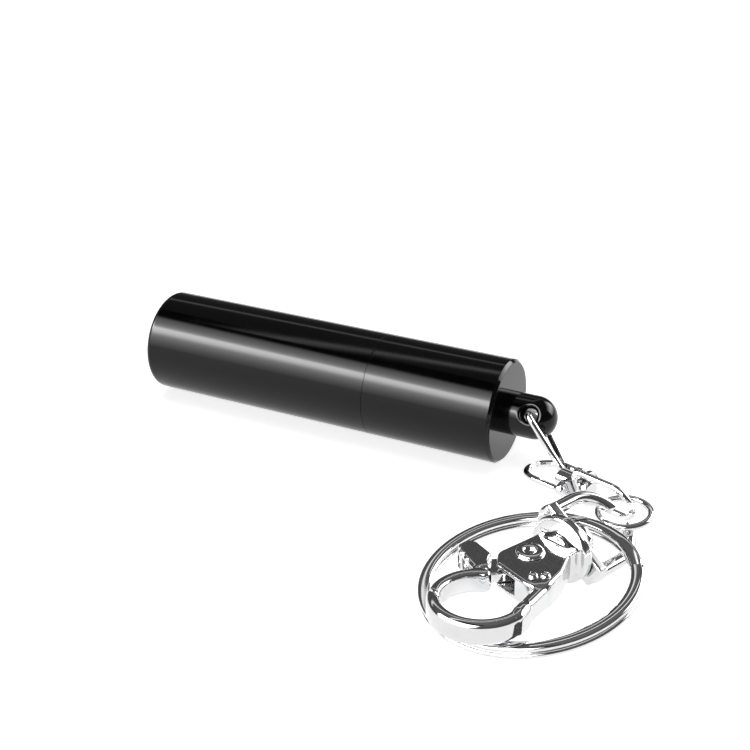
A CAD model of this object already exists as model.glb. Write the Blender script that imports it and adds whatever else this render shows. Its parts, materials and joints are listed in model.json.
import json  # noqa: E402
import math  # noqa: E402

import bpy  # noqa: E402
import numpy as np  # noqa: E402
from mathutils import Euler, Matrix, Vector  # noqa: E402


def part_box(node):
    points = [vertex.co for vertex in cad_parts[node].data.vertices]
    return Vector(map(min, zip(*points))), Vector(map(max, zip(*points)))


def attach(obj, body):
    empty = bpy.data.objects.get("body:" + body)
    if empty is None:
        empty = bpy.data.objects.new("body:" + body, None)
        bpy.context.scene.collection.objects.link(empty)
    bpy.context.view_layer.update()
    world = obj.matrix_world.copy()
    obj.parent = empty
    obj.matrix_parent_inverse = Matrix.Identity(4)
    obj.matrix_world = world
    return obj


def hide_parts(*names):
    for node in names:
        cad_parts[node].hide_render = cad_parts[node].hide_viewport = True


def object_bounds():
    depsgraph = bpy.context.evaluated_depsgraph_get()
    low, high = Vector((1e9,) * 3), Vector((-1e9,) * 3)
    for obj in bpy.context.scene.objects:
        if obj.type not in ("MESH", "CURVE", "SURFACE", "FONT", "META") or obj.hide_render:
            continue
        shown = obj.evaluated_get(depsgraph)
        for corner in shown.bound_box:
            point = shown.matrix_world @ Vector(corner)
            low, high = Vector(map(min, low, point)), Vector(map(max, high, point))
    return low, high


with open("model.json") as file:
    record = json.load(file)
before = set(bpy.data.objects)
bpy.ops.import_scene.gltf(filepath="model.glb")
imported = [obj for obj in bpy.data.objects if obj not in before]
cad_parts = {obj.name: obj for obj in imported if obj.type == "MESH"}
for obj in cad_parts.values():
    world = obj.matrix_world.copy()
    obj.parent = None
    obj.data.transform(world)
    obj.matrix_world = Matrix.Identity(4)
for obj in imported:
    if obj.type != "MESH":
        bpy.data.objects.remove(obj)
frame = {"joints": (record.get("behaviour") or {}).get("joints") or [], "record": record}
cad_box = [list(c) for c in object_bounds()]

MM = 0.001
JOINTS = {j["name"]: j for j in frame["joints"]}
MOUNTS = {m["name"]: m for m in frame["record"]["mounts"]}
BODY_OF = {n: b for b, ns in frame["record"]["behaviour"]["bodies"].items() for n in ns}
SLOT_OF = {s["node"]: s["material_slot"] for s in frame["record"]["subparts"]}


# ---- places -----------------------------------------------------------------


def placed(origin, x, y):
    """Matrix from a local frame in mm to the row frame in metres."""
    x = Vector(x).normalized()
    z = x.cross(Vector(y)).normalized()
    y = z.cross(x)
    m = Matrix((x, y, z)).transposed().to_4x4()
    m.translation = Vector(origin)
    return m @ Matrix.Scale(MM, 4)


def joint_at(name):
    return Vector(JOINTS[name]["pos_m"])


def joint_axis(name):
    return Vector(JOINTS[name]["axis"])


ROW = Matrix.Scale(MM, 4)
hook_axis = joint_axis("hook_turn")
IN_HOOK = placed(joint_at("hook_turn"), hook_axis, joint_axis("gate_press").cross(hook_axis))
IN_EYE = placed(joint_at("hook_turn"), hook_axis, joint_axis("eye_swing"))
swivel_axis = joint_axis("swivel_turn")
IN_BAIL_B = placed(joint_at("swivel_turn"), swivel_axis, joint_axis("jump_ring_swing"))
flat_y = Vector((0, 0, 1)).cross(swivel_axis)
IN_SWIVEL = placed(joint_at("swivel_turn"), swivel_axis, flat_y)
# bail A points back along the pin, rolled a little about it
BAIL_A_ROLL = math.radians(-4)
IN_BAIL_A = IN_SWIVEL @ Matrix.Rotation(BAIL_A_ROLL, 4, "X") @ Matrix.Rotation(math.pi, 4, "Z")
IN_LINK = placed(
    joint_at("link_swing"),
    joint_at("swivel_swing") - joint_at("link_swing"),
    joint_axis("link_swing"),
)
JUMP_TILT = Euler((math.radians(4), math.radians(-3), 0))
low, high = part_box("jump_ring")
IN_JUMP = (
    Matrix.Translation((low + high) / 2) @ JUMP_TILT.to_matrix().to_4x4() @ Matrix.Scale(MM, 4)
)
ring_axis = Vector(MOUNTS["key_ring"]["axis"])
ring_x = Vector((ring_axis.z, 0, -ring_axis.x))
IN_RING = placed(MOUNTS["key_ring"]["pos_m"], ring_x, ring_axis.cross(ring_x))


# ---- materials --------------------------------------------------------------

STAIN_SCALE = 260
GRAIN_DEPTH = 0.00002
GRAIN_LOW, GRAIN_HIGH = 0.1, 0.45


def even(scale):
    """The same grain scale along all three axes."""
    return (scale, scale, scale)


def material(
    name, color, metallic, rough,
    grain=even(900), bump=0.02, spread=0.25, stains=0.06, **inputs,
):
    """Principled material with fine grain along chosen axes, and faint larger stains."""
    mat = bpy.data.materials.new(name)
    mat.use_nodes = True
    nodes, links = mat.node_tree.nodes, mat.node_tree.links
    shader = nodes["Principled BSDF"]
    shader.inputs["Metallic"].default_value = metallic
    for key, value in inputs.items():
        shader.inputs[key.replace("_", " ")].default_value = value
    place = nodes.new("ShaderNodeTexCoord")
    mapping = nodes.new("ShaderNodeMapping")
    mapping.inputs["Scale"].default_value = grain
    fine = nodes.new("ShaderNodeTexNoise")
    fine.inputs["Scale"].default_value = 1
    fine.inputs["Detail"].default_value = 4
    links.new(place.outputs["Object"], mapping.inputs["Vector"])
    links.new(mapping.outputs["Vector"], fine.inputs["Vector"])
    broad = nodes.new("ShaderNodeTexNoise")
    broad.inputs["Scale"].default_value = STAIN_SCALE
    broad.inputs["Detail"].default_value = 3
    links.new(place.outputs["Object"], broad.inputs["Vector"])
    tone = nodes.new("ShaderNodeMix")
    tone.data_type = "RGBA"
    dark = [c * (1 - stains) for c in color]
    tone.inputs[6].default_value = (*dark, 1)
    tone.inputs[7].default_value = (*color, 1)
    links.new(broad.outputs["Fac"], tone.inputs[0])
    links.new(tone.outputs[2], shader.inputs["Base Color"])
    both = nodes.new("ShaderNodeMath")
    both.operation = "MULTIPLY"
    links.new(fine.outputs["Fac"], both.inputs[0])
    links.new(broad.outputs["Fac"], both.inputs[1])
    shine = nodes.new("ShaderNodeMapRange")
    shine.inputs["From Min"].default_value = GRAIN_LOW
    shine.inputs["From Max"].default_value = GRAIN_HIGH
    shine.inputs["To Min"].default_value = rough * (1 - spread)
    shine.inputs["To Max"].default_value = rough * (1 + spread)
    links.new(both.outputs[0], shine.inputs["Value"])
    links.new(shine.outputs[0], shader.inputs["Roughness"])
    relief = nodes.new("ShaderNodeBump")
    relief.inputs["Strength"].default_value = bump
    relief.inputs["Distance"].default_value = GRAIN_DEPTH
    links.new(fine.outputs["Fac"], relief.inputs["Height"])
    links.new(relief.outputs["Normal"], shader.inputs["Normal"])
    return mat


MATERIALS = {
    "anodised_black": material(
        "anodised_black", (0.0024, 0.0025, 0.0030), 0, 0.11,
        grain=(14000, 250, 250), bump=0.05, spread=0.3, stains=0.3, IOR=1.32,
    ),
    "nickel": material(
        "nickel", (0.66, 0.66, 0.665), 1, 0.06,
        grain=even(2500), bump=0.02, spread=0.4, stains=0.05,
    ),
    "nickel_cast": material(
        "nickel_cast", (0.63, 0.63, 0.635), 1, 0.08,
        grain=even(1300), bump=0.05, spread=0.4, stains=0.08,
    ),
    "spring_steel": material("spring_steel", (0.6, 0.6, 0.62), 1, 0.2, grain=even(3000), bump=0.1),
    "cell_can": material("cell_can", (0.7, 0.7, 0.71), 1, 0.24, grain=(400, 6000, 6000), bump=0.1),
    "brass": material(
        "brass", (0.75, 0.56, 0.25), 1, 0.2,
        grain=(9000, 300, 300), bump=0.1, spread=0.3, stains=0.15,
    ),
    "reflector_silver": material("reflector_silver", (0.88, 0.88, 0.9), 1, 0.05, bump=0.08),
    "lens_clear": material(
        "lens_clear", (0.97, 0.98, 0.99), 0, 0.03,
        grain=even(700), bump=0.01, spread=0.3, stains=0.02, Transmission_Weight=1.0, IOR=1.49,
    ),
    "seal_rubber": material("seal_rubber", (0.016, 0.016, 0.018), 0, 0.55, grain=even(5000), bump=0.25),
    "led_phosphor": material(
        "led_phosphor", (0.9, 0.78, 0.25), 0, 0.3, grain=even(4000), bump=0.15, IOR=1.5,
    ),
    "board_white": material("board_white", (0.8, 0.81, 0.79), 0, 0.45, grain=even(3000), bump=0.1),
}


# ---- meshes -----------------------------------------------------------------


def piece(name, node, verts, faces, place, sharp=35):
    """A smooth mesh in a local frame, which stands for a CAD node and rides with it."""
    mesh = bpy.data.meshes.new(name)
    mesh.from_pydata([tuple(map(float, v)) for v in verts], [], [tuple(map(int, f)) for f in faces])
    mesh.transform(place)
    mesh.update()
    mesh.shade_smooth()
    mesh.set_sharp_from_angle(angle=math.radians(sharp))
    mesh.materials.append(MATERIALS[SLOT_OF[node]])
    obj = bpy.data.objects.new(name, mesh)
    bpy.context.scene.collection.objects.link(obj)
    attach(obj, BODY_OF[node])
    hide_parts(node)
    return obj


def fillet(points, radius, closed=False, steps=5):
    """Rounds the corners of a chain of 2D points. radius is one number, or one for each point."""
    pts = [np.array(p, float) for p in points]
    radii = [radius] * len(pts) if np.isscalar(radius) else list(radius)
    made = []
    for i, p in enumerate(pts):
        if not closed and i in (0, len(pts) - 1) or radii[i] <= 0:
            made.append(p)
            continue
        a, b = pts[i - 1] - p, pts[(i + 1) % len(pts)] - p
        la, lb = np.linalg.norm(a), np.linalg.norm(b)
        a, b = a / la, b / lb
        half = math.acos(max(-1, min(1, float(a @ b)))) / 2
        if half > 1.55:
            made.append(p)
            continue
        cut = min(radii[i] / math.tan(half), 0.49 * la, 0.49 * lb)
        r = cut * math.tan(half)
        centre = p + (a + b) / np.linalg.norm(a + b) * (r / math.sin(half))
        u = p + a * cut - centre
        v = p + b * cut - centre
        turn = math.atan2(u[0] * v[1] - u[1] * v[0], float(u @ v))
        for s in range(steps + 1):
            t = turn * s / steps
            c, k = math.cos(t), math.sin(t)
            made.append(centre + np.array([c * u[0] - k * u[1], k * u[0] + c * u[1]]))
    return made


def supported(profile, closed):
    """Adds points near both ends of long spans, so that shading stays flat between them."""
    made = []
    pairs = zip(profile, list(profile[1:]) + ([profile[0]] if closed else []))
    for p, q in pairs:
        made.append(tuple(p))
        length = math.dist(p, q)
        if length > 0.6:
            for t in (0.08 / length, 0.2 / length, 1 - 0.2 / length, 1 - 0.08 / length):
                made.append((p[0] + (q[0] - p[0]) * t, p[1] + (q[1] - p[1]) * t))
    return made if closed else made + [tuple(profile[-1])]


def lathe(profile, closed=False, n=160, radius=None):
    """Turns (x, r) points about the X axis. radius(x, r, angle) may change r."""
    profile = supported(profile, closed)
    verts, rows = [], []
    for x, r in profile:
        if r < 1e-6:
            rows.append([len(verts)] * n)
            verts.append((x, 0, 0))
            continue
        rows.append(range(len(verts), len(verts) + n))
        for k in range(n):
            t = 2 * math.pi * k / n
            q = radius(x, r, t) if radius else r
            verts.append((x, q * math.cos(t), q * math.sin(t)))
    faces = []
    pairs = list(zip(rows, rows[1:]))
    if closed:
        pairs.append((rows[-1], rows[0]))
    for a, b in pairs:
        for k in range(n):
            m = (k + 1) % n
            face = [a[k], a[m], b[m], b[k]]
            unique = [v for i, v in enumerate(face) if v not in face[:i]]
            if len(unique) > 2:
                faces.append(unique)
    return verts, faces


def arc(centre, radius, a0, a1, n):
    """Points on an arc of the XY plane, with angles in degrees."""
    turns = [math.radians(a0 + (a1 - a0) * i / n) for i in range(n + 1)]
    return [(centre[0] + radius * math.cos(t), centre[1] + radius * math.sin(t), 0) for t in turns]


def sweep(path, section, closed):
    """A section of (side, up) points carried along a path, with up near +Z."""
    pts = np.array(path, float)
    n, m = len(pts), len(section)
    ahead = np.roll(pts, -1, 0) - np.roll(pts, 1, 0)
    if not closed:
        ahead[0], ahead[-1] = pts[1] - pts[0], pts[-1] - pts[-2]
    ahead /= np.linalg.norm(ahead, axis=1)[:, None]
    side = np.cross(ahead, (0, 0, 1))
    side /= np.linalg.norm(side, axis=1)[:, None]
    up = np.cross(side, ahead)
    sec = np.array(section, float)
    verts = (pts[:, None] + side[:, None] * sec[:, :1] + up[:, None] * sec[:, 1:]).reshape(-1, 3)
    faces = []
    for i in range(n if closed else n - 1):
        j = (i + 1) % n
        for k in range(m):
            q = (k + 1) % m
            faces.append([i * m + k, i * m + q, j * m + q, j * m + k])
    if not closed:
        faces.append(list(range(m))[::-1])
        faces.append([(n - 1) * m + k for k in range(m)])
    return verts, faces


def round_section(r, n=24):
    return [(r * math.cos(2 * math.pi * k / n), r * math.sin(2 * math.pi * k / n)) for k in range(n)]


def join(*meshes):
    verts, faces = [], []
    for v, f in meshes:
        faces += [[i + len(verts) for i in q] for q in f]
        verts += [tuple(p) for p in v]
    return verts, faces


# ---- distance fields --------------------------------------------------------


def blend_min(a, b, k):
    h = np.clip(0.5 + 0.5 * (b - a) / k, 0, 1)
    return b + (a - b) * h - k * h * (1 - h)


def blend_max(a, b, k):
    return -blend_min(-a, -b, k)


def extrude(flat, z, half, r):
    a, b = flat + r, np.abs(z) - half + r
    return np.minimum(np.maximum(a, b), 0) + np.hypot(np.maximum(a, 0), np.maximum(b, 0)) - r


def segment(x, y, p, q):
    """Distance in the plane from a segment."""
    e = (q[0] - p[0], q[1] - p[1])
    t = np.clip(((x - p[0]) * e[0] + (y - p[1]) * e[1]) / (e[0] ** 2 + e[1] ** 2), 0, 1)
    return np.hypot(x - p[0] - t * e[0], y - p[1] - t * e[1])


def ring_part(x, y, centre, radius, a0, a1):
    """Distance in the plane from an arc, with angles in degrees."""
    mid, half = math.radians((a0 + a1) / 2), math.radians((a1 - a0) / 2)
    dx, dy = x - centre[0], y - centre[1]
    turn = np.arctan2(dy, dx) - mid
    turn = np.abs((turn + math.pi) % (2 * math.pi) - math.pi)
    over = np.maximum(turn - half, 0)
    r = np.hypot(dx, dy)
    on = np.abs(r - radius)
    off = np.sqrt(np.maximum(r * r + radius * radius - 2 * r * radius * np.cos(over), 0))
    return np.where(turn <= half, on, off)


def polygon(x, y, pts):
    """Signed distance in the plane from a polygon."""
    best = np.full(x.shape, 1e9)
    sign = np.ones(x.shape)
    for i in range(len(pts)):
        a, b = pts[i], pts[i - 1]
        ex, ey = b[0] - a[0], b[1] - a[1]
        wx, wy = x - a[0], y - a[1]
        t = np.clip((wx * ex + wy * ey) / (ex * ex + ey * ey), 0, 1)
        best = np.minimum(best, (wx - ex * t) ** 2 + (wy - ey * t) ** 2)
        c1, c2, c3 = y >= a[1], y < b[1], ex * wy > ey * wx
        sign = np.where((c1 & c2 & c3) | (~c1 & ~c2 & ~c3), -sign, sign)
    return sign * np.sqrt(best)


def surface(field, lo, hi, step):
    """The zero surface of a distance field, as a mesh of quads."""
    lo = np.array(lo, float) - 2 * step
    size = [int((h - b) / step) + 4 for b, h in zip(lo, hi)]
    axes = [b + step * np.arange(n) for b, n in zip(lo, size)]
    f = field(*np.meshgrid(*axes, indexing="ij"))
    inside = f < 0
    n = np.array(f.shape) - 1
    corners = [np.array((i, j, k)) for i in (0, 1) for j in (0, 1) for k in (0, 1)]
    count = sum(
        inside[c[0] : c[0] + n[0], c[1] : c[1] + n[1], c[2] : c[2] + n[2]].astype(np.int8)
        for c in corners
    )
    cells = (count > 0) & (count < 8)
    index = np.full(n, -1)
    index[cells] = np.arange(int(cells.sum()))
    where = np.argwhere(cells)
    total, hits = np.zeros((len(where), 3)), np.zeros(len(where))
    for a in corners:
        for b in corners:
            if (b - a).sum() != 1 or np.abs(b - a).sum() != 1:
                continue
            fa, fb = f[tuple((where + a).T)], f[tuple((where + b).T)]
            cross = (fa < 0) != (fb < 0)
            t = fa[cross] / (fa[cross] - fb[cross])
            total[cross] += where[cross] + a + t[:, None] * (b - a)
            hits[cross] += 1
    pts = lo + step * total / hits[:, None]
    h = 0.05 * step
    for _ in range(3):
        d = field(*pts.T)
        slope = np.stack(
            [(field(*(pts + e).T) - field(*(pts - e).T)) / (2 * h) for e in h * np.eye(3)], 1
        )
        move = -(d / np.maximum((slope**2).sum(1), 0.25))[:, None] * slope
        pts = pts + np.clip(move, -0.5 * step, 0.5 * step)
    quads = []
    for axis in range(3):
        ahead = np.eye(3, dtype=int)[axis]
        u, v = np.eye(3, dtype=int)[(axis + 1) % 3], np.eye(3, dtype=int)[(axis + 2) % 3]
        cut = [slice(0, s - d) for s, d in zip(f.shape, ahead)]
        past = [slice(d, s) for s, d in zip(f.shape, ahead)]
        start = inside[tuple(cut)]
        at = np.argwhere(start != inside[tuple(past)])
        at = at[np.all((at >= u + v) & (at < n), axis=1)]
        out = start[tuple(at.T)]
        ring = np.stack([index[tuple((at - o).T)] for o in (0 * u, u, u + v, v)], 1)
        ring[~out] = ring[~out][:, ::-1]
        quads.append(ring)
    return pts, np.concatenate(quads)


# ---- torch ------------------------------------------------------------------

BODY_R, BORE_R, NECK_R = 7.0, 5.9, 6.5
HEAD_END, TAIL_START, TAIL_END = 34.25, 34.3, 52.5
RIM_R, RIM_STEP, SEAT_X = 5.0, 0.25, 1.0
LIP_R, LIP_END = 5.98, 13.3
SOCKET_R, SOCKET_X = 6.55, 27.7
BEVEL = 0.4
BORE_END = 46.5

head = fillet(
    [
        (0.9, RIM_R), (RIM_STEP, RIM_R), (0, RIM_R + RIM_STEP), (0, BODY_R), (HEAD_END, BODY_R),
        (HEAD_END, SOCKET_R), (SOCKET_X, SOCKET_R), (SOCKET_X, BORE_R), (LIP_END, BORE_R),
        (LIP_END, LIP_R), (SEAT_X, LIP_R), (SEAT_X, RIM_R),
    ],
    [0, 0.1, 0.1, 0.8, 0.015, 0.05, 0, 0, 0, 0, 0, 0],
    closed=True, steps=8,
)
piece("head_tube_shell", "head_tube", *lathe(head, True, 256), ROW)

# the neck: a groove for the seal at its root, then the thread, then a plain end
GROOVE_R, GROOVE_X = 6.18, 33.4
tail = fillet(
    [
        (GROOVE_X, GROOVE_R), (TAIL_START, GROOVE_R), (TAIL_START, BODY_R),
        (TAIL_END - BEVEL, BODY_R), (TAIL_END, BODY_R - BEVEL), (TAIL_END, 0),
        (BORE_END, 0), (BORE_END, BORE_R), (GROOVE_X, BORE_R),
    ],
    [0, 0, 0.015, 0.08, 0.08, 0, 0, 0, 0], closed=False, steps=5,
)
piece("tail_tube_shell", "tail_tube", *lathe(tail, True, 256), ROW)

PITCH, THREAD_DEPTH, FLANK = 0.75, 0.34, 1.6
THREAD_START, THREAD_END = 28.3, 32.4
LEAD_IN, RUN_OUT = 0.7, 0.5
ROWS = 80


def thread(x, r, angle):
    """Radius of a right-handed thread at a place on the neck."""
    if r < NECK_R - 0.1:
        return r
    turn = (x / PITCH - angle / (2 * math.pi)) % 1
    ends = min(1, max(0, (x - THREAD_START) / LEAD_IN), max(0, (THREAD_END - x) / RUN_OUT))
    crest = min(1, FLANK * (1 - abs(2 * turn - 1)))
    return NECK_R - THREAD_DEPTH + THREAD_DEPTH * ends * crest


threaded = THREAD_END - THREAD_START
neck = [(THREAD_START, BORE_R), (THREAD_START, 6.2)]
neck += [(THREAD_START + threaded * i / ROWS, NECK_R) for i in range(ROWS + 1)]
neck += [(THREAD_END, GROOVE_R), (33.6, GROOVE_R), (33.6, BORE_R)]
piece("neck_thread", "tail_tube", *lathe(neck, True, 128, thread), ROW, 50)

POST_ROOT, POST_R, HOLE_X, HOLE_R = 52.3, 2.9, 56.2, 1.0
FLARE_SLOPE, FLARE_DEPTH = 0.3, 0.9
hole_dir = joint_axis("link_swing")


def post(x, y, z):
    """The round-nosed keyring post with its flared cross hole."""
    side = np.sqrt(y * y + z * z)
    solid = np.hypot(np.maximum(x - HOLE_X - 0.1, 0), side) - POST_R
    solid = blend_max(solid, POST_ROOT - x, 0.02)
    along = y * hole_dir.y + z * hole_dir.z
    off = np.hypot(x - HOLE_X, y * hole_dir.z - z * hole_dir.y)
    flare = FLARE_SLOPE * np.maximum(np.abs(along) - POST_R + FLARE_DEPTH, 0)
    return blend_max(solid, HOLE_R - 0.1 + flare - off, 0.7)


post_mesh = surface(post, (POST_ROOT, -3, -3), (59.3, 3, 3), 0.08)
piece("keyring_post", "tail_tube", *post_mesh, ROW, 60)

# ---- light module and cells -------------------------------------------------

LENS_X, LENS_END, BOARD_X, BOARD_END = 1.5, 2.7, 9.3, 10.5
CELLS_X, CELL_H, CELL_R, CELLS = 14.3, 5.4, 5.8, 4


def band(x0, x1, r0, r1):
    """The section of a ring, or of a disc when r0 is 0."""
    return [(x0, r0), (x0, r1), (x1, r1), (x1, r0)]


contact = [(BOARD_END, 0), (BOARD_END, 2.4), (11.5, 2.4), (11.5, 1.5), (14.27, 1.5), (14.27, 0)]
turned_parts = {
    "lens_gasket": (band(SEAT_X, LENS_X, 5.1, BORE_R), 0.12, True),
    "lens": (band(LENS_X, LENS_END, 0, BORE_R), 0.12, False),
    "led_board": (band(BOARD_X, BOARD_END, 0, BORE_R), 0.06, False),
    "board_ring": (band(BOARD_END, 13.1, 3.6, BORE_R), 0.25, True),
    "front_contact": (contact, 0.3, False),
}
for node, (chain, r, closed) in turned_parts.items():
    piece(node + "_turned", node, *lathe(fillet(chain, r, closed), closed, 128), ROW)

# the reflector is a paraboloid, with its stations closer together near the LED
LED_HOLE_R, DISH_GROWTH = 1.6, 3.4
stations = [(i / 40) ** 1.6 for i in range(41)]
dish = [
    (LENS_END + (BOARD_X - LENS_END) * (1 - t), LED_HOLE_R + DISH_GROWTH * math.sqrt(t)) for t in stations
]
dish += [(LENS_END, BORE_R), (BOARD_X, BORE_R)]
piece("reflector_dish", "reflector", *lathe(dish, True, 160), ROW, 50)

DOME_X, DOME_R, PACKAGE_R = 8.3, 1.0, 1.4
turns = [math.pi / 2 * i / 16 for i in range(16, -1, -1)]
dome = [(DOME_X - DOME_R * math.sin(t), DOME_R * math.cos(t)) for t in turns]
dome[0] = (DOME_X - DOME_R, 0)
package = dome + [(DOME_X, PACKAGE_R), (BOARD_X, PACKAGE_R), (BOARD_X, 0)]
package = fillet(package, [0] * len(dome) + [0.1, 0, 0])
piece("led_dome", "led", *lathe(package, False, 96), ROW)

# a cell: the smaller cap faces the lens, and a seal groove parts it from the can
CAP_R, CAP_H = 4.8, 0.62
for i in range(CELLS):
    x0 = CELLS_X + CELL_H * i
    chain = [
        (x0 + 0.02, 0), (x0 + 0.02, CAP_R - 0.2), (x0 + 0.3, CAP_R), (x0 + CAP_H, CAP_R),
        (x0 + CAP_H, 4.95), (x0 + 0.5, 4.98), (x0 + 0.6, CELL_R), (x0 + CELL_H, CELL_R), (x0 + CELL_H, 0),
    ]
    piece(f"cell_{i + 1}_can", f"cell_{i + 1}", *lathe(fillet(chain, 0.25), False, 128), ROW)

SEAL_X, SEAL_R, SEAL_WIRE = 32.85, 6.345, 0.165
turns = np.linspace(0, 2 * math.pi, 24)[:-1]
seal = [(SEAL_X + SEAL_WIRE * math.sin(t), SEAL_R + SEAL_WIRE * math.cos(t)) for t in turns]
piece("neck_o_ring", "neck_seal", *lathe(seal, True, 160), ROW)

# the tail spring: almost a flat turn at each end, and a cone between them
SPRING_X, SPRING_H, SPRING_R, SPRING_GROWTH = 36.25, 9.9, 3, 0.3
SPRING_TURNS, TURN_STEPS, FLAT_TURNS, RISING_TURNS = 6, 48, 0.9, 4.2
coil = []
for i in range(TURN_STEPS * SPRING_TURNS + 1):
    t = i / TURN_STEPS
    rise = min(1, max(0, (t - FLAT_TURNS) / RISING_TURNS))
    r = SPRING_R + SPRING_GROWTH * t
    a = 2 * math.pi * t
    coil.append((SPRING_X + SPRING_H * rise, r * math.cos(a), r * math.sin(a)))
# the sweep keeps up near +Z, so the coil is made about Z and turned to X
upright = [(-z, y, x) for x, y, z in coil]
verts, faces = sweep(upright, round_section(0.34, 14), False)
piece("contact_spring", "tail_spring", [(z, y, -x) for x, y, z in verts], faces, ROW)


# ---- wire parts -------------------------------------------------------------

WIRE_R = 0.43

# the post link: a triangle of wire with three round corners, of which the base runs through the post
LINK_TOP, LINK_R, LINK_FAR, LINK_END_R, LINK_SHIFT, LINK_STEP = 2.8, 1.0, 7.1, 1.6, 0.1, 0.35
reach = LINK_FAR - LINK_R
span = math.hypot(reach, LINK_TOP)
lean = math.degrees(math.atan2(-LINK_TOP, reach) + math.acos((LINK_R - LINK_END_R) / span))
path = arc((LINK_R, LINK_TOP), LINK_R, 180, lean, 16)
path += arc((LINK_FAR, 0), LINK_END_R, lean, -lean, 32)
path += arc((LINK_R, -LINK_TOP), LINK_R, -lean, -180, 16)
path = [(x, y - LINK_SHIFT, 0) for x, y, _ in path]
dense = []
for p, q in zip(path, path[1:] + path[:1]):
    steps = max(1, int(math.dist(p, q) / LINK_STEP))
    dense += [tuple(a + (b - a) * i / steps for a, b in zip(p, q)) for i in range(steps)]
piece("post_link_wire", "post_link", *sweep(dense, round_section(WIRE_R), True), IN_LINK)

# the swivel: two wire bails whose legs run into drilled plates, and a pin with a head at each end
PLATE_R, PLATE_X, PLATE_HALF, LEG_START = 1.1, 0.525, 0.425, 0.4


def bail(length, radius, bore):
    """A wire bail whose legs run into a drilled plate."""

    def field(x, y, z):
        bow = ring_part(x, y, (length - radius, 0), radius, -90, 90)
        leg = segment(x, np.abs(y), (LEG_START, radius), (length - radius, radius))
        wire = np.hypot(np.minimum(bow, leg), z) - WIRE_R
        end = np.maximum(np.abs(y) - radius - WIRE_R + PLATE_R, 0)
        flat = np.hypot(end, z) - PLATE_R
        plate = extrude(flat, x - PLATE_X, PLATE_HALF, 0.2)
        return blend_max(blend_min(wire, plate, 0.35), bore - np.hypot(y, z), 0.12)

    side = radius + 0.5
    return surface(field, (0.05, -side, -1.15), (length + 0.5, side, 1.15), 0.07)


piece("swivel_bail_a_wire", "swivel_bail_a", *bail(8.1, 3.0, 0.7), IN_BAIL_A, 60)
piece("swivel_bail_b_wire", "swivel_bail_b", *bail(8.4, 2.5, 0.75), IN_BAIL_B, 60)

PIN_R, PIN_HEAD_R = 0.7, 1.25
pin = fillet(
    [
        (-3.25, 0), (-3.25, 1.1), (-3.1, PIN_HEAD_R), (-0.95, PIN_HEAD_R), (-0.95, PIN_R),
        (1.0, PIN_R), (1.0, PIN_HEAD_R), (2.0, PIN_HEAD_R), (2.0, 0),
    ],
    [0, 0.2, 0.1, 0.15, 0.05, 0.05, 0.2, 0.5, 0],
)
piece("swivel_rivet", "swivel_pin", *lathe(pin, False, 96), IN_SWIVEL)

JUMP_R, JUMP_SEAM, JUMP_SWEEP = 3.1, 151, 358.6
open_ring = arc((0, 0), JUMP_R, JUMP_SEAM, JUMP_SEAM + JUMP_SWEEP, 180)
piece("jump_ring_wire", "jump_ring", *sweep(open_ring, round_section(WIRE_R), False), IN_JUMP)

# ---- split ring -------------------------------------------------------------

RING_MID, RING_W, COIL_H, LIFT = 11.85, 1.5, 0.81, 0.43
RING_START, RING_SWEEP, RING_STEPS = 30, 712, 720
STEP_WIDTH, CROWN = 0.07, 0.8


def squash(value):
    """Flattens the sides of a circle, so that the wire's section is crowned."""
    return math.copysign(abs(value) ** CROWN, value)


helix = []
for i in range(RING_STEPS + 1):
    t = i / RING_STEPS
    rise = min(1, max(0, (t - 0.5 + STEP_WIDTH / 2) / STEP_WIDTH))
    rise = rise * rise * (3 - 2 * rise)
    a = math.radians(RING_START + RING_SWEEP * t)
    helix.append((RING_MID * math.cos(a), RING_MID * math.sin(a), LIFT * (2 * rise - 1)))
turns = [math.pi * i / 16 for i in range(32)]
crown = [(RING_W / 2 * squash(math.cos(t)), COIL_H / 2 * squash(math.sin(t))) for t in turns]
piece("split_ring_coil", "split_ring", *sweep(helix, crown, False), IN_RING, 40)


# ---- snap hook --------------------------------------------------------------

CLAW, CLAW_R, PIVOT = (-16.0, -1.7), 4.9, (-6.2, 0.1)

# the eye: a bow of round wire that grows out of a disc, bored for the stud
EYE_R, EYE_X, EYE_WIRE = 4.45, 4.9, 0.8
DISC_R, DISC_HALF_H, DISC_HALF_T, STUD_BORE = 5.1, 1.7, 0.7, 1.31


def eye(x, y, z):
    bow = ring_part(x, y, (EYE_X, 0), EYE_R, -90, 90)
    leg = segment(x, np.abs(y), (DISC_HALF_T, EYE_R), (EYE_X, EYE_R))
    wire = np.hypot(np.minimum(bow, leg), z) - EYE_WIRE
    disc = blend_max(np.hypot(y, z) - DISC_R, np.abs(z) - DISC_HALF_H, 0.3)
    plate = extrude(disc, x - DISC_HALF_T, DISC_HALF_T, 0.3)
    return blend_max(blend_min(wire, plate, 0.6), STUD_BORE - np.hypot(y, z), 0.1)


eye_mesh = surface(eye, (-0.1, -5.4, -1.8), (10.3, 5.4, 1.8), 0.1)
piece("hook_eye_cast", "hook_eye", *eye_mesh, IN_EYE, 60)

# the hook's body: a flange, a root, a slotted plate, and a spine that ends in the claw
PLATE_HALF_H, CLAW_HALF_W, CLAW_HALF_H = 1.6, 0.8, 1.4
FLANGE_R, ROOT_R, GATE_SWEEP_R = 4.1, 2.3, 13.15
SLOT_X, SLOT_Y, SLOT_HALF_H = -7.3, 2.1, 1

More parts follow.
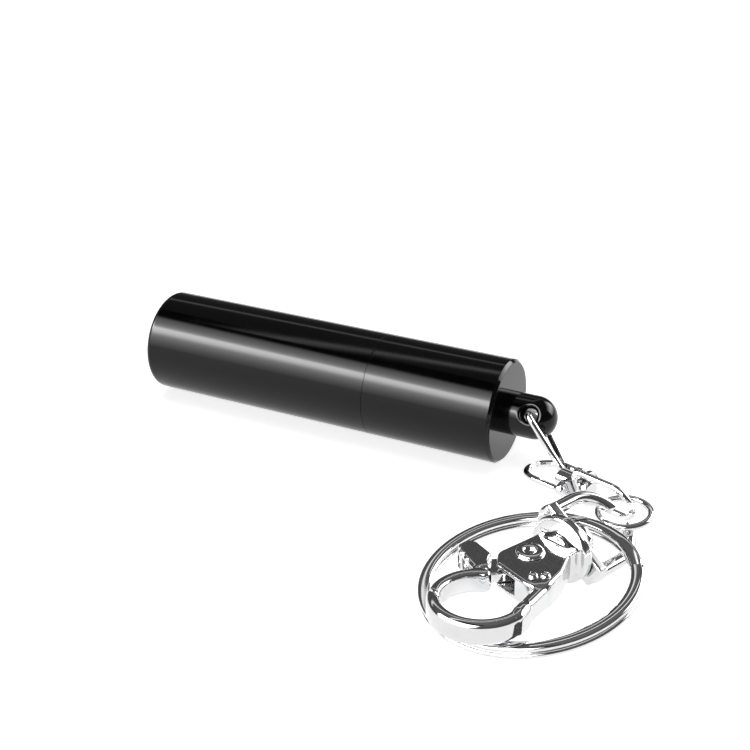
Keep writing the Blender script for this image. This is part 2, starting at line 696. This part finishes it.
plate_outline = fillet(
    [
        (-1.6, 2.4), (-3.2, 2.4), (-8.6, 2.75), (-10.4, 1.2), (-11.2, -4.2),
        (-9.6, -5.7), (-6.4, -4.9), (-3.2, -3.2), (-1.6, -3.2),
    ],
    [0, 0.5, 1.6, 1.2, 1.4, 1.0, 1.5, 0.5, 0], closed=True,
)
spine_outline = [(-15.5, -7.2), (-8.4, -5.5), (-8.4, -3.8), (-14, -5.4), (-15.5, -5.6)]


def body(x, y, z):
    flange = extrude(np.hypot(y, z) - FLANGE_R, x + 0.95, 0.65, 0.4)
    root = extrude(np.hypot(y + 0.4, z) - ROOT_R, x + 1.6, 0.8, 0.3)
    plate = extrude(polygon(x, y, plate_outline), z, PLATE_HALF_H, 0.32)
    claw = ring_part(x, y, CLAW, CLAW_R, 112, 290) - CLAW_HALF_W
    claw = extrude(claw, z, CLAW_HALF_H, 0.7)
    # the gate's tip sweeps past the claw's tip, so the claw is cut back there
    swept = np.hypot(x - PIVOT[0], y - PIVOT[1]) - GATE_SWEEP_R
    claw = blend_max(claw, -np.maximum(swept, CLAW[1] - y), 0.25)
    spine = extrude(polygon(x, y, spine_outline), z, CLAW_HALF_H, 0.6)
    arm = blend_min(claw, spine, 0.7)
    solid = blend_min(blend_min(plate, arm, 0.5), blend_min(flange, root, 0.5), 0.5)
    slot = np.maximum(np.abs(x - SLOT_X) - 4.7, np.abs(y - SLOT_Y) - 4)
    slot = np.maximum(slot, np.abs(z) - SLOT_HALF_H)
    solid = blend_max(solid, -slot, 0.12)
    inside = CLAW_R - CLAW_HALF_W - np.hypot(x - CLAW[0], y - CLAW[1])
    return blend_max(solid, inside, 0.5)


body_mesh = surface(body, (-21.9, -7.8, -4.2), (-0.2, 4.3, 4.2), 0.11)
piece("hook_body_cast", "hook_body", *body_mesh, IN_HOOK, 60)

# the gate lever: an arc that closes the claw, a grooved thumb tab and a tongue on the rivet
GATE_HALF_W, GATE_HALF_H, GATE_TIP_R = 0.75, 1.3, 12.9
CHEEK_R, TONGUE_R, RIVET_BORE = 3.9, 1.6, 0.85
GROOVE_FROM, GROOVE_RUN, GRIP_R = (-12.3, 3.7), (1.9, 4.0), 0.32

tab_outline = fillet(
    [(-12.6, 2.4), (-11.2, 6.4), (-10.2, 7.4), (-8.6, 7.4), (-8.2, 6.2), (-8.8, 3.4), (-11, 1.6)],
    [0.3, 0.8, 0.5, 0.5, 0.6, 0.8, 0.3], closed=True,
)


def lever(x, y, z):
    reach = np.hypot(x - PIVOT[0], y - PIVOT[1])
    gate = ring_part(x, y, CLAW, CLAW_R, 38, 142) - GATE_HALF_W
    gate = extrude(gate, z, GATE_HALF_H, 0.6)
    gate = blend_max(gate, reach - GATE_TIP_R, 0.25)
    tab = extrude(polygon(x, y, tab_outline), z, GATE_HALF_H, 0.45)
    for along in (0.15, 0.45, 0.75):
        gx = GROOVE_FROM[0] + GROOVE_RUN[0] * along
        gy = GROOVE_FROM[1] + GROOVE_RUN[1] * along
        tab = blend_max(tab, GRIP_R - np.hypot(x - gx, y - gy), 0.15)
    # the root clears the cheeks, which reach out further beside the claw
    turn = np.degrees(np.arctan2(y - PIVOT[1], x - PIVOT[0])) % 360
    clear = CHEEK_R + np.clip((turn - 120) / 30, 0, 1)
    outer = blend_max(blend_min(gate, tab, 0.5), clear - reach, 0.15)
    tongue = extrude(segment(x, y, PIVOT, (-10.4, 3)) - TONGUE_R, z + 0.35, 0.6, 0.15)
    solid = np.minimum(outer, tongue)
    solid = blend_max(solid, RIVET_BORE - reach, 0.05)
    inside = CLAW_R - GATE_HALF_W - np.hypot(x - CLAW[0], y - CLAW[1])
    return blend_max(solid, inside, 0.3)


lever_mesh = surface(lever, (-20, -1, -1.4), (-4.4, 7.5, 1.4), 0.1)
piece("gate_lever_cast", "gate_lever", *lever_mesh, IN_HOOK, 60)

STUD_R, STUD_HEAD_R, STUD_NECK, STUD_END = 1.25, 2.1, 1.46, 2.46
stud = fillet(
    [
        (-0.3, 0), (-0.3, STUD_R), (STUD_NECK, STUD_R),
        (STUD_NECK, STUD_HEAD_R), (STUD_END, STUD_HEAD_R), (STUD_END, 0),
    ],
    [0, 0, 0.05, 0.15, 0.6, 0],
)
piece("hook_stud_turned", "hook_stud", *lathe(stud, False, 96), IN_HOOK)


def on_edge(at):
    """A place in the hook where a lathe's X axis stands along Z."""
    return IN_HOOK @ Matrix.Translation((*at, 0)) @ Matrix.Rotation(-math.pi / 2, 4, "Y")


RIVET_R, RIVET_HEAD_R, RIVET_END = 0.8, 1.7, 2.0
rivet = fillet(
    [
        (-RIVET_END, 0), (-RIVET_END, 1.6), (-PLATE_HALF_H, RIVET_HEAD_R), (-PLATE_HALF_H, RIVET_R),
        (PLATE_HALF_H, RIVET_R), (PLATE_HALF_H, RIVET_HEAD_R), (RIVET_END, 1.55), (RIVET_END, 0.75),
        (1.5, 0.5), (1.5, 0),
    ],
    [0, 0.3, 0.05, 0, 0, 0.05, 0.35, 0.3, 0.1, 0],
)
piece("gate_rivet_turned", "gate_rivet", *lathe(rivet, False, 96), on_edge(PIVOT))

STOP_PIN_R, STOP_PINS = 0.62, (-9.1, -3.9)
stop_pin = [(-1.85, 0), (-1.85, STOP_PIN_R), (1.55, STOP_PIN_R), (1.95, 0.5), (2.05, 0)]
stop_pin = fillet(stop_pin, [0, 0.25, 0, 0.35, 0])
heads = []
for dx, dy in ((0.5, -0.45), (-0.5, 0.45)):
    verts, faces = lathe(stop_pin, False, 48)
    heads.append(([(x, y + dy, z - dx) for x, y, z in verts], faces))
piece("stop_pin_heads", "stop_pin", *join(*heads), on_edge(STOP_PINS))

# the gate spring: two turns about the rivet, and a leg that leaves each end of them
COIL_R, COIL_Z, COIL_RISE, COIL_WIRE = 1.25, 0.45, 0.3, 0.13
LEG_STEP, LEG_STEPS, COIL_STEPS, STEP_TURN = 0.4, 6, 72, 10
spring = [(-2.9, -COIL_R, COIL_Z)]
spring += [(-LEG_STEP * i, -COIL_R, COIL_Z) for i in range(LEG_STEPS, 0, -1)]
for i in range(COIL_STEPS + 1):
    t = math.radians(STEP_TURN * i - 90)
    spring.append((COIL_R * math.cos(t), COIL_R * math.sin(t), COIL_Z + COIL_RISE * i / COIL_STEPS))
spring += [(-LEG_STEP * i, -COIL_R, COIL_Z + COIL_RISE) for i in range(1, LEG_STEPS + 1)]
verts, faces = sweep(spring, round_section(COIL_WIRE, 12), False)
piece("gate_spring_coil", "gate_spring", verts, faces, IN_HOOK @ Matrix.Translation((*PIVOT, 0)))


# ---- stage ------------------------------------------------------------------


def staged(obj):
    bpy.context.scene.collection.objects.link(obj)
    return obj


def plane(name, width, height, mat):
    mesh = bpy.data.meshes.new(name)
    w, h = width / 2, height / 2
    mesh.from_pydata([(-w, -h, 0), (w, -h, 0), (w, h, 0), (-w, h, 0)], [], [(0, 1, 2, 3)])
    mesh.uv_layers.new(name="UVMap")
    for loop, uv in zip(mesh.uv_layers[0].data, ((0, 0), (1, 0), (1, 1), (0, 1))):
        loop.uv = uv
    mesh.materials.append(mat)
    return staged(bpy.data.objects.new(name, mesh))


floor_mat = bpy.data.materials.new("floor")
floor_mat.use_nodes = True
shader = floor_mat.node_tree.nodes["Principled BSDF"]
shader.inputs["Base Color"].default_value = (0.9, 0.9, 0.9, 1)
shader.inputs["Roughness"].default_value = 0.9
shader.inputs["Specular IOR Level"].default_value = 0.1
shader.inputs["Emission Color"].default_value = (1, 1, 1, 1)
shader.inputs["Emission Strength"].default_value = 0.82
FLOOR_SIZE, FLOOR_GAP = 6, 0.00002
floor = plane("floor", FLOOR_SIZE, FLOOR_SIZE, floor_mat)
centre = (Vector(cad_box[0]) + Vector(cad_box[1])) / 2
floor.location = (centre.x, centre.y, cad_box[0][2] - FLOOR_GAP)

# a pale wall around the floor, which lights nothing and shows in no reflection
WALL_R, WALL_BASE, WALL_TOP, WALL_SIDES = 2.9, -0.1, 4, 64
turns = [2 * math.pi * i / WALL_SIDES for i in range(WALL_SIDES)]
wall_ring = [(WALL_R * math.cos(t), WALL_R * math.sin(t)) for t in turns]
following = [(i + 1) % WALL_SIDES for i in range(WALL_SIDES)]
wall_mesh = bpy.data.meshes.new("wall")
wall_mesh.from_pydata(
    [(x, y, z) for z in (WALL_BASE, WALL_TOP) for x, y in wall_ring],
    [], [(i, j, j + WALL_SIDES, i + WALL_SIDES) for i, j in enumerate(following)],
)
wall_mesh.materials.append(floor_mat)
wall = staged(bpy.data.objects.new("wall", wall_mesh))
wall.visible_glossy = False
wall.visible_diffuse = False
wall.visible_shadow = False
wall.visible_transmission = False


def fade(ramp, stops):
    """Gives a ramp node its stops, as (place, grey)."""
    while len(ramp.color_ramp.elements) < len(stops):
        ramp.color_ramp.elements.new(0.5)
    for element, (at, value) in zip(ramp.color_ramp.elements, stops):
        element.position = at
        element.color = (value, value, value, 1)


def glow(name, strength, stops):
    """Emission that fades across a card from its lower to its upper edge."""
    mat = bpy.data.materials.new(name)
    mat.use_nodes = True
    nodes, links = mat.node_tree.nodes, mat.node_tree.links
    nodes.clear()
    place = nodes.new("ShaderNodeTexCoord")
    split = nodes.new("ShaderNodeSeparateXYZ")
    ramp = nodes.new("ShaderNodeValToRGB")
    fade(ramp, stops)
    shine = nodes.new("ShaderNodeEmission")
    out = nodes.new("ShaderNodeOutputMaterial")
    shine.inputs["Strength"].default_value = strength
    links.new(place.outputs["UV"], split.inputs[0])
    links.new(split.outputs[1], ramp.inputs[0])
    links.new(ramp.outputs[0], shine.inputs["Color"])
    links.new(shine.outputs[0], out.inputs[0])
    return mat


def card(name, direction, distance, width, height, mat):
    """A card that stands off the torch in a direction and faces it."""
    obj = plane(name, width, height, mat)
    out = Vector(direction).normalized()
    obj.location = centre + out * distance
    obj.rotation_mode = "QUATERNION"
    obj.rotation_quaternion = out.to_track_quat("Z", "Y")
    obj.visible_camera = False
    obj.visible_shadow = False
    obj.visible_diffuse = False
    return obj


# the share along X of the directions that the torch mirrors to the camera
MIRRORED = -0.3975


def toward(angle, along=MIRRORED):
    """A direction by its angle above -Y in the YZ plane, and its share along X."""
    rest = math.sqrt(1 - along * along)
    t = math.radians(angle)
    return (along, -rest * math.cos(t), rest * math.sin(t))


# the softbox above the camera side, which peaks at 42 degrees, two thin strips overhead, and a
# softer card at the rear for the side away from the camera
FRONT = [
    (0, 0.05), (0.068, 0.08), (0.174, 0.13), (0.263, 0.2), (0.346, 0.31), (0.425, 0.8), (0.5, 1),
    (0.542, 0.36), (0.587, 0.25), (0.633, 0.18), (0.687, 0.14), (0.74, 0.06), (0.76, 0),
]
STRIP = [(0, 0.1), (0.5, 1), (1, 0.1)]
card("front_card", toward(42), 0.6, 0.95, 0.94, glow("front_glow", 28, FRONT))
card("top_card", toward(100), 0.7, 1.2, 0.07, glow("top_glow", 2.4, STRIP))
card("back_card", toward(139), 0.7, 1.2, 0.07, glow("back_glow", 1.4, STRIP))
card("rear_card", toward(150, 0.6), 0.6, 0.5, 0.42, glow("rear_glow", 10, STRIP))

# the key light shows in no reflection, and makes the soft shadow
KEY_SIZE, KEY_POWER, KEY_AT, KEY_LEAN = 1.2, 8.5, Vector((-0.17, 0.09, 1.4)), math.radians(-7)
light = bpy.data.lights.new("key", "AREA")
light.shape = "DISK"
light.size = KEY_SIZE
light.energy = KEY_POWER
key = bpy.data.objects.new("key", light)
bpy.context.scene.collection.objects.link(key)
key.location = centre + KEY_AT
key.rotation_euler = (0, KEY_LEAN, 0)
key.visible_glossy = False

world = bpy.data.worlds.new("world")
bpy.context.scene.world = world
world.use_nodes = True
nodes, links = world.node_tree.nodes, world.node_tree.links
sky = nodes.new("ShaderNodeTexCoord")
split = nodes.new("ShaderNodeSeparateXYZ")
ramp = nodes.new("ShaderNodeValToRGB")
SKY = [(0, 0.24), (0.06, 0.16), (0.18, 0.1), (0.45, 0.09), (0.8, 0.15), (1, 0.18)]
fade(ramp, SKY)
links.new(sky.outputs["Generated"], split.inputs[0])
links.new(split.outputs[2], ramp.inputs[0])
links.new(ramp.outputs[0], nodes["Background"].inputs["Color"])

# ---- camera -----------------------------------------------------------------

AIM = Vector((0.02559, 0.01501, -0.007))
FROM = Vector((0.10859, -0.15343, 0.0843))
FOCAL_LENGTH = 66.86
lens = bpy.data.cameras.new("camera")
lens.lens = FOCAL_LENGTH
lens.sensor_width = 36
lens.clip_start = 0.01
camera = bpy.data.objects.new("camera", lens)
bpy.context.scene.collection.objects.link(camera)
camera.location = FROM
camera.rotation_euler = (AIM - FROM).to_track_quat("-Z", "Y").to_euler()
bpy.context.scene.camera = camera
bpy.context.scene.view_settings.view_transform = "Standard"
bpy.context.scene.view_settings.look = "None"
